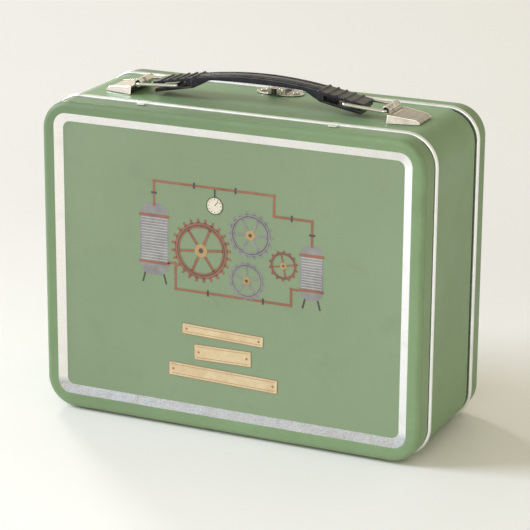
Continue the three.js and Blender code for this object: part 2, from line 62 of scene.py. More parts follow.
# ---- materials ----
class Finish:
    """A node material built up from an object-space position."""

    def __init__(self, name, colour, metallic, roughness):
        self.material = bpy.data.materials.new(name)
        self.material.use_nodes = True
        self.nodes = self.material.node_tree.nodes
        self.links = self.material.node_tree.links
        self.shader = self.nodes["Principled BSDF"]
        self.place = self.nodes.new("ShaderNodeTexCoord").outputs["Object"]
        self.feed(self.shader, {"Base Color": (*colour, 1), "Metallic": metallic, "Roughness": roughness})

    def feed(self, node, inputs):
        """Links each named input to an output or sets it to a value; gives the node's outputs."""
        for name, value in inputs.items():
            if isinstance(value, bpy.types.NodeSocket):
                self.links.new(value, node.inputs[name])
            else:
                node.inputs[name].default_value = value
        return node.outputs

    def stretched(self, scale):
        node = self.nodes.new("ShaderNodeMapping")
        return self.feed(node, {"Scale": scale, "Vector": self.place})["Vector"]

    def noise(self, scale, detail=3.0, rough=0.5, at=None):
        node = self.nodes.new("ShaderNodeTexNoise")
        inputs = {"Scale": scale, "Detail": detail, "Roughness": rough, "Vector": at or self.place}
        return self.feed(node, inputs)["Fac"]

    def cells(self, scale):
        node = self.nodes.new("ShaderNodeTexVoronoi")
        return self.feed(node, {"Scale": scale, "Vector": self.place})["Distance"]

    def ranged(self, value, low, high, to_low=0.0, to_high=1.0):
        node = self.nodes.new("ShaderNodeMapRange")
        spans = {"From Min": low, "From Max": high, "To Min": to_low, "To Max": to_high, "Value": value}
        return self.feed(node, spans)["Result"]

    def sum_or_product(self, operation, a, b):
        node = self.nodes.new("ShaderNodeMath")
        node.operation = operation
        return self.feed(node, {0: a, 1: b})[0]

    def times(self, a, b):
        return self.sum_or_product("MULTIPLY", a, b)

    def plus(self, a, b):
        return self.sum_or_product("ADD", a, b)

    def mixed(self, share, a, b):
        """Colour a where share is 0 and b where it is 1; each is a colour or an output."""
        node = self.nodes.new("ShaderNodeMix")
        node.data_type = "RGBA"
        a, b = ((*c, 1) if isinstance(c, tuple) else c for c in (a, b))
        return self.feed(node, {"Factor": share, "A": a, "B": b})["Result"]

    def attribute(self, name):
        node = self.nodes.new("ShaderNodeAttribute")
        node.attribute_name = name
        return node.outputs["Fac"]

    def part(self, axis):
        return self.feed(self.nodes.new("ShaderNodeSeparateXYZ"), {"Vector": self.place})[axis]

    def colour(self, output):
        self.feed(self.shader, {"Base Color": output})

    def roughness(self, output):
        self.feed(self.shader, {"Roughness": output})

    def bump(self, height, depth):
        node = self.nodes.new("ShaderNodeBump")
        self.feed(node, {"Distance": depth, "Height": height})
        if self.shader.inputs["Normal"].is_linked:
            before = self.shader.inputs["Normal"].links[0].from_socket
            self.links.new(before, node.inputs["Normal"])
        self.links.new(node.outputs["Normal"], self.shader.inputs["Normal"])


def shaded(colour, by):
    return tuple(by * c for c in colour)


def make_paint(name, light, dark, spot, deep=0.0):
    """Old enamel: slow clouds of fading, a fine orange peel, faint grime and hairline scratches; deep adds
    painted shade towards the upper left.
    """
    f = Finish(name, light, 0.0, 0.45)
    f.feed(f.shader, {"Specular IOR Level": 0.38, "Coat Weight": 0.08, "Coat Roughness": 0.3})
    base = f.mixed(f.ranged(f.noise(9, 4), 0.35, 0.68), dark, light)
    speck = f.ranged(f.noise(2600, 2), 0.60, 0.72, 0.0, spot)
    base = f.mixed(speck, base, shaded(light, 1.35))
    grime = f.ranged(f.noise(55, 6, 0.7), 0.56, 0.80, 0.0, 0.28)
    base = f.mixed(grime, base, shaded(dark, 0.62))
    streak = f.noise(1.0, 3, 0.5, f.stretched((700, 700, 24)))
    base = f.mixed(f.ranged(streak, 0.74, 0.79, 0.0, 0.22), base, shaded(light, 1.5))
    rubbed = f.times(f.attribute("edge"), f.ranged(f.noise(60, 5, 0.7), 0.45, 0.70, 0.0, 0.35))
    base = f.mixed(rubbed, base, shaded(light, 1.3))
    if deep:  # painted shade, darker towards the upper left
        left = f.ranged(f.part("X"), 0.09, -0.105, 0.0, 0.62)
        high = f.ranged(f.part("Z"), 0.05, 0.178, 0.25, 1.0)
        base = f.mixed(f.times(f.times(left, high), deep), base, shaded(dark, 0.45))
    f.colour(base)
    f.roughness(f.ranged(f.noise(30, 5, 0.6), 0.3, 0.75, 0.40, 0.58))
    f.bump(f.noise(700, 3), 0.00002)
    f.bump(f.noise(18, 2), 0.0006)
    return f.material


def make_gap_shade():
    """Near-black painted shade for narrow gaps, mottled: the rim slits, the clips' linings, the latch's slot.
    """
    f = Finish("painted_gap_shade", (0.02, 0.02, 0.018), 0.2, 0.6)
    shade_mottle = f.ranged(f.noise(400, 5, 0.7), 0.4, 0.7)
    f.colour(f.mixed(shade_mottle, (0.012, 0.012, 0.011), (0.040, 0.042, 0.034)))
    f.roughness(f.ranged(shade_mottle, 0.0, 1.0, 0.5, 0.8))
    f.bump(f.noise(900, 4), 0.00005)
    return f.material


def make_frame_silver():
    """Bare tin with a fine sparkle; along the bottom of the frame, painted reflection turns it grey."""
    f = Finish("bare_tin_frame", (0.80, 0.78, 0.75), 0.85, 0.36)
    grain = f.noise(3800, 3, 0.7)
    base = f.mixed(f.ranged(grain, 0.38, 0.62), (0.72, 0.71, 0.69), (0.93, 0.92, 0.91))
    # Painted reflection: the bottom bevel is painted grey, for the greyer surround it mirrors.
    low = f.ranged(f.part("Z"), 0.0185, 0.0150)
    sparkle = f.ranged(f.noise(2200, 2, 0.8), 0.44, 0.66)
    base = f.mixed(low, base, f.mixed(sparkle, (0.36, 0.375, 0.40), (0.66, 0.68, 0.70)))
    dull = f.ranged(f.noise(70, 5, 0.65), 0.5, 0.8, 0.0, 0.35)
    f.colour(f.mixed(dull, base, (0.60, 0.57, 0.53)))
    f.roughness(f.ranged(f.noise(160, 4, 0.6), 0.3, 0.7, 0.30, 0.50))
    f.bump(grain, 0.00004)
    return f.material


RUBBED_AND_HIGHLIT_METAL = (0.97, 0.94, 0.86)


def make_metal(name, bright, dull, low_rough, high_rough, brushed, edge_wear_and_highlight=0.0, metallic=1.0, shade_left_corners=False):
    """Bare metal: clouds of tarnish, fine drawn lines, pits, and edges both burnished and lit with painted
    highlight.
    """
    f = Finish(name, bright, metallic, low_rough)
    tarnish = f.ranged(f.noise(120, 6, 0.7), 0.42, 0.75)
    base = f.mixed(tarnish, bright, dull)
    lines = f.noise(1.0, 3, 0.6, f.stretched(brushed))
    base = f.mixed(f.ranged(lines, 0.55, 0.72, 0.0, 0.35), base, shaded(dull, 0.8))
    pits = f.ranged(f.cells(900), 0.02, 0.10, 0.35, 0.0)
    base = f.mixed(pits, base, shaded(dull, 0.5))
    # Edges: partly rubbed metal, partly painted highlight for the light caught on creases.
    rubbed_and_highlit = f.times(f.attribute("edge"), f.ranged(f.noise(300, 3), 0.25, 0.55, 0.0, edge_wear_and_highlight))
    base = f.mixed(rubbed_and_highlit, base, RUBBED_AND_HIGHLIT_METAL)
    if shade_left_corners:  # painted shade: darker over the left corners, taking down the light they catch
        base = f.mixed(f.ranged(f.part("X"), -0.086, -0.100, 0.0, 0.8), base, (0.30, 0.28, 0.235))
    f.colour(base)
    f.roughness(f.ranged(f.plus(lines, tarnish), 0.4, 1.4, low_rough, high_rough))
    f.bump(lines, 0.00003)
    f.bump(f.noise(60, 3), 0.00015)
    return f.material


def make_plastic():
    """Moulded plastic: faint mould lines, dust in the hollows, and paler edges, partly rubbed and partly
    painted highlight.
    """
    f = Finish("black_moulded_plastic", (0.012, 0.012, 0.014), 0.0, 0.25)
    f.feed(f.shader, {"Specular IOR Level": 0.42, "Specular Tint": (0.60, 0.68, 0.90, 1)})
    f.feed(f.shader, {"Coat Weight": 0.06, "Coat Roughness": 0.12})
    base = f.mixed(f.ranged(f.noise(150, 5, 0.6), 0.4, 0.7), (0.009, 0.009, 0.010), (0.020, 0.019, 0.018))
    dust = f.ranged(f.noise(900, 5, 0.75), 0.62, 0.80, 0.0, 0.15)
    base = f.mixed(dust, base, (0.060, 0.060, 0.062))
    # Edges: partly scuffed, partly painted highlight.
    scuff_and_highlight = f.times(f.attribute("edge"), f.ranged(f.noise(220, 4, 0.6), 0.35, 0.60, 0.0, 0.6))
    f.colour(f.mixed(scuff_and_highlight, base, (0.12, 0.122, 0.126)))
    f.roughness(f.ranged(f.noise(240, 4, 0.6), 0.3, 0.7, 0.20, 0.40))
    f.bump(f.noise(2400, 3), 0.00002)
    f.bump(f.noise(1.0, 2, 0.5, f.stretched((60, 500, 500))), 0.00005)
    return f.material


def make_groove_shade():
    """Near-black painted shade in the bottom of the grip's grooves, matt plastic."""
    f = Finish("painted_groove_shade", (0.004, 0.004, 0.005), 0.0, 0.7)
    f.feed(f.shader, {"Specular IOR Level": 0.2})
    f.colour(f.mixed(f.ranged(f.noise(700, 4, 0.7), 0.5, 0.8), (0.003, 0.003, 0.004), (0.012, 0.011, 0.010)))
    f.roughness(f.ranged(f.noise(300, 3), 0.3, 0.7, 0.6, 0.8))
    return f.material


def make_rust():
    """A dry brown bloom of rust on the plate."""
    f = Finish("rust_bloom", (0.20, 0.085, 0.04), 0.1, 0.8)
    bloom = f.ranged(f.noise(1500, 5, 0.75), 0.42, 0.60)
    f.colour(f.mixed(bloom, (0.42, 0.31, 0.22), (0.13, 0.050, 0.022)))
    f.roughness(f.ranged(f.noise(900, 4, 0.6), 0.3, 0.7, 0.6, 0.9))
    f.bump(f.noise(2600, 3, 0.7), 0.00005)
    return f.material


def make_print(name, colour, shade):
    """Printed ink: a screen of fine dots, uneven cover and worn flecks."""
    f = Finish(name, colour, 0.0, 0.45)
    f.feed(f.shader, {"Coat Weight": 0.25, "Coat Roughness": 0.18})
    base = f.mixed(f.ranged(f.noise(130, 5, 0.7), 0.35, 0.7), colour, shade)
    dots = f.ranged(f.cells(1500), 0.12, 0.40, 0.0, 0.25)
    base = f.mixed(dots, base, shaded(colour, 1.25))
    flecks = f.ranged(f.noise(700, 5, 0.8), 0.66, 0.72, 0.0, 0.6)
    f.colour(f.mixed(flecks, base, (0.22, 0.30, 0.18)))
    f.roughness(f.ranged(f.noise(90, 4), 0.3, 0.7, 0.36, 0.55))
    f.bump(f.noise(900, 3), 0.00002)
    return f.material


def make_floor():
    """A pale sweep with painted light: brighter in front of the box and far behind it."""
    f = Finish("pale_floor", (0.86, 0.85, 0.82), 0.0, 0.6)
    base = f.mixed(f.ranged(f.noise(3, 3), 0.3, 0.7), (0.865, 0.852, 0.825), (0.885, 0.875, 0.85))
    # Painted light: brighter in front of the box and far behind it.
    base = f.mixed(f.ranged(f.part("Y"), -0.10, -0.34), base, (0.985, 0.955, 0.955))
    f.colour(f.mixed(f.ranged(f.part("Y"), 0.3, 1.5), base, (0.96, 0.955, 0.95)))
    return f.material


PAINT = make_paint("green_enamel", (0.203, 0.318, 0.170), (0.172, 0.272, 0.140), 0.22)
# The last argument of the pan and panel enamels paints shade towards the upper left.
PAN_PAINT = make_paint("green_pan_enamel", (0.198, 0.300, 0.158), (0.168, 0.256, 0.130), 0.22, 0.8)
PANEL_PAINT = make_paint("green_printed_panel", (0.222, 0.302, 0.184), (0.197, 0.271, 0.160), 0.35, 0.3)
GAP_SHADE = make_gap_shade()
FRAME_SILVER = make_frame_silver()
RIM_STEEL = make_metal(
    "bare_rim_steel", (0.97, 1.0, 1.0), (0.84, 0.89, 0.88), 0.30, 0.42, (90, 90, 90), 0.0, 0.9, shade_left_corners=True)
STEEL = make_metal("plain_steel", (0.72, 0.71, 0.68), (0.42, 0.40, 0.36), 0.24, 0.45, (60, 1200, 1200))
NICKEL = make_metal(
    "warm_nickel", (0.50, 0.47, 0.435), (0.38, 0.345, 0.31), 0.26, 0.44, (1300, 70, 1300), 0.95)
# A paler nickel for the latch, and painted light on the left clip: a lit copy of the warm nickel.
PALE_AND_LIT_NICKEL = make_metal(
    "pale_and_lit_nickel", (0.73, 0.685, 0.645), (0.57, 0.52, 0.47), 0.24, 0.40, (1300, 70, 1300), 0.9)
# Pale metal for the clips' folds: partly rubbed, partly painted highlight.
CREASE_HIGHLIGHT = make_metal("rubbed_crease_highlight", (0.97, 0.93, 0.85), (0.80, 0.74, 0.64), 0.22, 0.36, (300, 300, 300))
# A dark nickel for the clips' barrels and the latch's front rib.
DARK_NICKEL = make_metal(
    "dark_nickel", (0.18, 0.15, 0.115), (0.10, 0.078, 0.056), 0.24, 0.42, (400, 400, 400), 0.8)
WIRE = make_metal("bright_wire", (0.86, 0.86, 0.84), (0.55, 0.51, 0.44), 0.12, 0.28, (40, 900, 900))
PLASTIC = make_plastic()
GROOVE_SHADE = make_groove_shade()
RUST = make_rust()
INK_CREAM = make_print("print_cream", (0.66, 0.62, 0.50), (0.54, 0.49, 0.38))
INK_LABEL = make_print("print_label", (0.60, 0.49, 0.31), (0.47, 0.32, 0.155))
INK_TAN = make_print("print_tan", (0.24, 0.13, 0.06), (0.36, 0.20, 0.09))
INK_COPPER = make_print("print_copper", (0.26, 0.115, 0.065), (0.15, 0.062, 0.038))
INK_GREY = make_print("print_grey", (0.235, 0.235, 0.23), (0.13, 0.13, 0.135))
INK_PALE = make_print("print_pale_grey", (0.42, 0.42, 0.41), (0.30, 0.29, 0.29))
INK_DARK = make_print("print_dark", (0.060, 0.055, 0.050), (0.035, 0.032, 0.030))
INK_BRASS = make_print("print_brass", (0.40, 0.27, 0.11), (0.27, 0.17, 0.07))


# ---- mesh making ----
def new_object(name, data):
    obj = bpy.data.objects.new(name, data)
    bpy.context.scene.collection.objects.link(obj)
    return obj


def mesh_object(name, points, faces, body, materials, face_materials=None, edge=None, angle=32.0):
    """A piece from points in millimetres."""
    mesh = bpy.data.meshes.new(name)
    mesh.from_pydata([[c * MM for c in p] for p in points], [], faces)
    for material in materials:
        mesh.materials.append(material)
    if face_materials:
        mesh.polygons.foreach_set("material_index", face_materials)
    if edge:
        mesh.attributes.new("edge", "FLOAT", "POINT").data.foreach_set("value", edge)
    return settle(name, mesh, body, angle)


def settle(name, mesh, body, angle):
    """Smooth shading with sharp creases above angle, and the piece's body."""
    turned_out = bmesh.new()
    turned_out.from_mesh(mesh)
    bmesh.ops.recalc_face_normals(turned_out, faces=turned_out.faces)
    turned_out.to_mesh(mesh)
    turned_out.free()
    mesh.polygons.foreach_set("use_smooth", [True] * len(mesh.polygons))
    mesh.set_sharp_from_angle(angle=math.radians(angle))
    obj = new_object(name, mesh)
    weighted = obj.modifiers.new("weighted", "WEIGHTED_NORMAL")
    weighted.keep_sharp = True
    weighted.weight = 100
    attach(obj, body)
    return obj


def ring(inset, y, corner=None, rise=0.0):
    """A rounded rectangle standing across Y, inset from the walls."""
    corner = CORNER - inset if corner is None else corner
    points = []
    for quarter, (side_x, side_z) in enumerate(((1, 1), (-1, 1), (-1, -1), (1, -1))):
        for step in range(CORNER_STEPS + 1):
            a = math.pi / 2 * (quarter + step / CORNER_STEPS)
            points.append((
                side_x * (HALF_W - inset - corner) + corner * math.cos(a),
                y,
                MID_Z + rise + side_z * (HALF_H - inset - corner) + corner * math.sin(a),
            ))
    return points


def skin(rings, closed):
    """Faces that join each ring to the next; capped where it isn't closed."""
    n = len(rings[0])
    points = [p for r in rings for p in r]
    faces = []
    for i in range(len(rings) if closed else len(rings) - 1):
        a, b = i * n, ((i + 1) % len(rings)) * n
        for k in range(n):
            m = (k + 1) % n
            faces.append((a + k, a + m, b + m, b + k))
    if not closed:
        order = range(len(points))
        faces += [tuple(order[:n]), tuple(order[:-n - 1:-1])]
    return points, faces


def softened(profile, radii, steps=4):
    """Rounds the corners of a row of tuples; radii[i] is the reach at corner i, and each point keeps its i."""
    out = []
    for i, here in enumerate(profile):
        r = radii.get(i, 0.0)
        if not r or i in (0, len(profile) - 1):
            out.append((here, i))
            continue
        before, after = profile[i - 1], profile[i + 1]

        def towards(other):
            d = math.dist(here[:2], other[:2])
            t = min(0.48, r / d) if d else 0
            return tuple(h + (o - h) * t for h, o in zip(here, other))

        a, b = towards(before), towards(after)
        for step in range(steps + 1):
            t = step / steps
            out.append((
                tuple((1 - t) ** 2 * u + 2 * t * (1 - t) * v + t * t * w for u, v, w in zip(a, here, b)),
                i,
            ))
    return out


def tube(path, radius, sides, closed, up=Vector((0, 1, 0))):
    """Rings of a round wire along points in millimetres, with its flat side across up."""
    rings = []
    count = len(path)
    for i, p in enumerate(path):
        before = path[i - 1] if closed or i else path[0]
        after = path[(i + 1) % count] if closed or i < count - 1 else path[-1]
        along = (Vector(after) - Vector(before)).normalized()
        out = along.cross(up).normalized()
        over = out.cross(along).normalized()
        rings.append([
            tuple(Vector(p) + out * radius * math.cos(math.tau * k / sides)
                  + over * radius * math.sin(math.tau * k / sides))
            for k in range(sides)
        ])
    return skin(rings, closed)


class Build:
    """Collects bodies into one bmesh, in millimetres."""

    def __init__(self):
        self.bm = bmesh.new()

    def add(self, points, faces, bevel=0.0, segments=2, angle=28.0):
        part = bmesh.new()
        verts = [part.verts.new(p) for p in points]
        for face in faces:
            part.faces.new([verts[i] for i in face])
        bmesh.ops.recalc_face_normals(part, faces=part.faces)
        if bevel:
            part.normal_update()
            sharp = [e for e in part.edges if e.is_manifold and e.calc_face_angle() > math.radians(angle)]
            bmesh.ops.bevel(part, geom=sharp, offset=bevel, segments=segments, profile=0.5, affect="EDGES",
                            clamp_overlap=True)
        scratch = bpy.data.meshes.new("scratch")
        part.to_mesh(scratch)
        part.free()
        self.bm.from_mesh(scratch)
        bpy.data.meshes.remove(scratch)

    def box(self, x, y, z, bevel=0.25, segments=2):
        points = [(a, b, c) for a in x for b in y for c in z]
        faces = [(0, 1, 3, 2), (4, 6, 7, 5), (0, 4, 5, 1), (2, 3, 7, 6), (0, 2, 6, 4), (1, 5, 7, 3)]
        self.add(points, faces, bevel, segments)

    def prism(self, outline, axis, span, bevel=0.25, segments=2):
        """outline runs in the other two axes, in order; it is drawn out along axis."""
        def at(p, along):
            q = list(p)
            q.insert(axis, along)
            return tuple(q)

        n = len(outline)
        points = [at(p, span[0]) for p in outline] + [at(p, span[1]) for p in outline]
        faces = [tuple(range(n)), tuple(range(n, 2 * n))]
        faces += [(k, (k + 1) % n, n + (k + 1) % n, n + k) for k in range(n)]
        self.add(points, faces, bevel, segments)

    def to_mesh(self, name):
        """Hands over the bodies as one mesh in metres."""
        mesh = bpy.data.meshes.new(name)
        for v in self.bm.verts:
            v.co *= MM
        self.bm.to_mesh(mesh)
        self.bm.free()
        return mesh

    def finish(self, name, body, material, mirror=None, ridge=17.0, angle=32.0):
        """Mirrors across X = mirror, marks corners that turn more than ridge degrees for edge wear and painted
        highlight, and places it.
        """
        if mirror is not None:
            for v in self.bm.verts:
                v.co.x = 2 * mirror - v.co.x
            bmesh.ops.reverse_faces(self.bm, faces=self.bm.faces)
        self.bm.normal_update()
        turn = {
            v: max((e.calc_face_angle(0.0) for e in v.link_edges if e.is_manifold), default=0.0)
            for v in self.bm.verts
        }
        edge_wear_and_highlight = []
        for v in self.bm.verts:
            around = max((turn[e.other_vert(v)] for e in v.link_edges), default=0.0)
            sharpest = turn[v] > math.radians(ridge) and turn[v] > 0.8 * around
            edge_wear_and_highlight.append(1.0 if sharpest else 0.0)
        mesh = self.to_mesh(name)
        mesh.attributes.new("edge", "FLOAT", "POINT").data.foreach_set("value", edge_wear_and_highlight)
        mesh.materials.append(material)
        return settle(name, mesh, body, angle)


# ---- pans ----
def face_profile(deep):
    """From the recessed panel's edge outwards to the wall, set back by deep: inset, y, corner, rise."""
    r = EDGE_R - deep
    y = -FACE_Y + deep
    rows = [
        (BORDER + FRAME + 8, y + RECESS, PANEL_CORNER, PANEL_RISE),
        (BORDER + FRAME, y + RECESS, PANEL_CORNER, PANEL_RISE),
        (BORDER, y, FRAME_CORNER, PANEL_RISE),
        (deep + r + 0.2, y, CORNER - deep - r, 0.0),
    ]
    soft = softened(rows, {1: 0.45, 2: 0.45}, 4)
    steps = 8
    for step in range(steps + 1):
        a = math.pi / 2 * step / steps
        inset = deep + r * (1 - math.sin(a))
        soft.append(((inset, y + r * (1 - math.cos(a)), CORNER - inset, 0.0), 4))
    return soft


ENAMEL_FACE, FRAME_FACE, PANEL_FACE = 0, 1, 2
FACE_MARGIN = 0.05


def face_kind(p, q):
    """Which finish covers the strip between two rows of the pan's outer face."""
    near, far = sorted((p[0], q[0]))
    if near >= BORDER + FRAME - FACE_MARGIN:
        return PANEL_FACE
    if near >= BORDER + FACE_MARGIN and far <= BORDER + FRAME - FACE_MARGIN:
        return FRAME_FACE
    return ENAMEL_FACE


def pan(name, cad, collar_end, body, mirror):
    """A pressed pan: framed face, rounded edge, wall, and the collar that meets the band."""
    shoulder = -RIM_Y - RIM_R - GAP
    wall = [
        (0.0, shoulder), (STEP_IN, shoulder), (STEP_IN, collar_end), (STEP_IN + SHEET, collar_end),
        (STEP_IN + SHEET, shoulder - SHEET), (SHEET, shoulder - SHEET),
    ]
    wall = softened(wall, {1: 0.25, 2: 0.15, 3: 0.15, 4: 0.4}, 3)
    wall = [((a, y, CORNER - a, 0.0), 5) for (a, y), _ in wall]
    outside = face_profile(0.0)
    profile = outside + wall + face_profile(SHEET)[::-1]
    rings = [ring(*p) for p, _ in profile]
    points, faces = skin(rings, False)
    n = len(rings[0])
    kinds = [
        face_kind(p, q) if i < len(outside) else ENAMEL_FACE
        for i, ((p, _), (q, _)) in enumerate(zip(profile, profile[1:]))
    ]
    face_materials = [kind for kind in kinds for _ in range(n)] + [PANEL_FACE, ENAMEL_FACE]
    edge = []  # rubbed: the frame's outer edge (2), the rounded edge (4), the shoulder and collar (5)
    for p, kind in profile:
        edge += [1.0 if kind in (2, 5) or (kind == 4 and p[0] > 0.4) else 0.0] * n
    if mirror:
        points = [(x, -y, z) for x, y, z in points]
        faces = [tuple(reversed(f)) for f in faces]
    made = mesh_object(name, points, faces, body,
                       [PAN_PAINT, FRAME_SILVER, PANEL_PAINT], face_materials, edge, 40)
    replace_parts(made, cad)
    return made


pan("front_pan_pressing", "front_pan", -RIM_Y + 6, "shell", False)
rear = pan("rear_pan_pressing", "rear_pan", -RIM_Y + RIM_R, "cover", True)


# ---- band ----
RELIEF_Z = (-1.0, 5.6)


def relieved(obj, y_low, y_high):
    """Cuts away a piece where the hinges pass."""
    boxes = Build()
    for x in (-HINGE_X, HINGE_X):
        boxes.box((x - HINGE_RELIEF, x + HINGE_RELIEF), (y_low, y_high), RELIEF_Z, 0)
    cutter = new_object("relief", boxes.to_mesh("relief"))
    cut = obj.modifiers.new("relief", "BOOLEAN")
    cut.operation = "DIFFERENCE"
    cut.object = cutter
    cut.solver = "EXACT"
    while obj.modifiers[0] != cut:
        obj.modifiers.move(len(obj.modifiers) - 1, 0)
    bpy.context.view_layer.update()
    shown = obj.evaluated_get(bpy.context.evaluated_depsgraph_get())
    mesh = bpy.data.meshes.new_from_object(shown)
    obj.modifiers.clear()
    obj.data = mesh
    bpy.data.objects.remove(cutter)


edge_y, pull = RIM_Y - RIM_R - GAP, SIDE_SLIT - GAP
BLEND = 0.56  # the edge draws back over this much fall below the top
band_front = -RIM_Y + RIM_R + GAP
band_rows = [
    (0.0, band_front), (0.0, edge_y), (NECK_IN, edge_y), (NECK_IN, NECK_END), (NECK_IN + SHEET, NECK_END),
    (NECK_IN + SHEET, edge_y - SHEET), (SHEET, edge_y - SHEET), (SHEET, band_front), (0.0, band_front),
]


def band_ring(inset, y):
    """The band meets the rear rim along the top and draws back from it round the corners and sides."""
    if y < 0 or y > edge_y + 0.01:
        return ring(inset, y)
    points = []
    for x, y0, z in ring(inset, y):
        below = min(1.0, max(0.0, (TOP_Z - inset - z) / BLEND))
        points.append((x, y0 - pull * below, z))
    return points


band_soft = softened(band_rows, {1: 0.35, 2: 0.3, 3: 0.2, 4: 0.2, 5: 0.4, 6: 0.3}, 4)[:-1]
band_rings = [band_ring(a, y) for (a, y), _ in band_soft]
band_points, band_faces = skin(band_rings, True)
# The edge by the rim is corner 1, the neck's end is 3; the step between them gets near-black painted shade.
band_edge = [1.0 if kind in (1, 3) else 0.0 for _, kind in band_soft for _ in band_rings[0]]
band_kinds = [1 if kind in (1, 2) and a > 0.4 else 0 for (a, _), kind in band_soft for _ in band_rings[0]]
band = mesh_object("middle_band", band_points, band_faces, "shell", [PAINT, GAP_SHADE], band_kinds,
                   band_edge, 40)
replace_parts(band, "centre_band")
relieved(band, edge_y - pull, NECK_END + 1)
relieved(rear, RIM_Y - 4, RIM_Y + 2.4)


# ---- rims ----
def bead(name, cad, body, path, closed):
    points, faces = tube(path, RIM_R, WIRE_SIDES, closed)
    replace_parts(mesh_object(name, points, faces, body, [RIM_STEEL]), cad)


bead("front_rim_bead", "front_rim", "shell", ring(0.0, -RIM_Y), True)
whole = ring(0.0, RIM_Y)
low_z = min(p[2] for p in whole)
cut_out, cut_in = HINGE_X + HINGE_RELIEF, HINGE_X - HINGE_RELIEF
# The ring starts at the right side and runs over the top; the lower straight is broken at the hinges.
start = next(i for i, p in enumerate(whole) if abs(p[2] - low_z) < 0.01 and p[0] > 0)
hoop = [(cut_out, RIM_Y, low_z)] + whole[start:] + whole[:start] + [(-cut_out, RIM_Y, low_z)]
bead("rear_rim_bead", "rear_rim", "cover", hoop, False)
bar = [(x, RIM_Y, low_z) for x in (-cut_in, -cut_in / 2, 0, cut_in / 2, cut_in)]
bead("rear_rim_bead_lower", "rear_rim_lower", "cover", bar, False)


# ---- painted shadow: a dark strip on the seam in front of the front rim, down the sides ----
def seam(proud=0.05, wide=1.1, into_gap=0.2, clear=2.2):
    y_front = -RIM_Y - RIM_R + into_gap - wide
    loops = [ring(-proud, y_front), ring(-proud, y_front + wide)]
    points, n = loops[0] + loops[1], len(loops[0])
    below_top = MID_Z + HALF_H - clear
    faces = [
        (k, m, n + m, n + k) for k, m in ((k, (k + 1) % n) for k in range(n))
        if max(points[k][2], points[m][2]) < below_top
    ]
    mesh_object("front_rim_seam_shadow", points, faces, "shell", [GAP_SHADE])


seam()


# ---- lugs that clinch the front rim ----
def lug(name, cad, x, top):
    """A thin strap over the rim, and its foot on the pan's wall in front of it."""
    build = Build()
    wall, side = (TOP_Z, 1) if top else (MID_Z - HALF_H, -1)
    over, under = [], []
    for step in range(9):
        a = math.radians(165 - 110 * step / 8)
        for row, reach in ((over, RIM_R + 0.2), (under, RIM_R + 0.02)):
            row.append((-RIM_Y + reach * math.cos(a), wall + side * reach * math.sin(a)))
    build.prism(over + under[::-1], 0, (x - 2.0, x + 2.0), 0.08, 1)
    foot = [(-36.6, 0.25), (-36.6, 0.7), (-36.2, 1.1), (-35.0, 1.15), (-34.4, 0.8), (-34.3, 0.25)]
    build.prism([(y, wall + side * h) for y, h in foot], 0, (x - 2.3, x + 1.9), 0.15, 2)
    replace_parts(build.finish(name, "shell", RIM_STEEL), cad)


for level, top in (("upper", True), ("lower", False)):
    for where, x in (("left", -54.4), ("right", 55.0)):
        lug(f"front_lug_{level}_{where}", f"rim_tab_{level}_{where}", x, top)


# ---- bails ----
def bail(name, cad, body, side):
    """A closed wire loop, turned up by its rest tilt from the pivot in the clip's barrel."""
    tilt = math.asin(BAIL_RISE / BAIL_LENGTH)
    corners = [Vector((0, -BAIL_ARM)), Vector((BAIL_LENGTH, -BAIL_ARM)),
               Vector((BAIL_LENGTH, BAIL_ARM)), Vector((0, BAIL_ARM))]
    bend = 1.6
    path = []
    for i in range(4):
        here, nxt, after = corners[i], corners[(i + 1) % 4], corners[(i + 2) % 4]
        a = nxt + (here - nxt).normalized() * bend
        b = nxt + (after - nxt).normalized() * bend
        for t in (step / 8 for step in range(9)):
            path.append(a * (1 - t) ** 2 + nxt * 2 * t * (1 - t) + b * t * t)
    placed = [(
        CLIPS_X + side * (PIVOT_X - p.x * math.cos(tilt)), HANDLE_Y + p.y,
        TOP_Z + PIVOT_H + p.x * math.sin(tilt),
    ) for p in path]
    up = Vector((side * math.sin(tilt), 0, math.cos(tilt)))
    points, faces = tube(placed, BAIL_WIRE, WIRE_SIDES, True, up)
    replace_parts(mesh_object(name, points, faces, body, [WIRE]), cad)


bail("left_bail_loop", "left_bail", "left_bail_wire", -1)
bail("right_bail_loop", "right_bail", "right_bail_wire", 1)


# ---- handle clips ----
LEAN = 0.22  # the skirt spreads this much per millimetre of height
SKIRT_LOW = 0.3
CLIP_RIDGE = 7.0


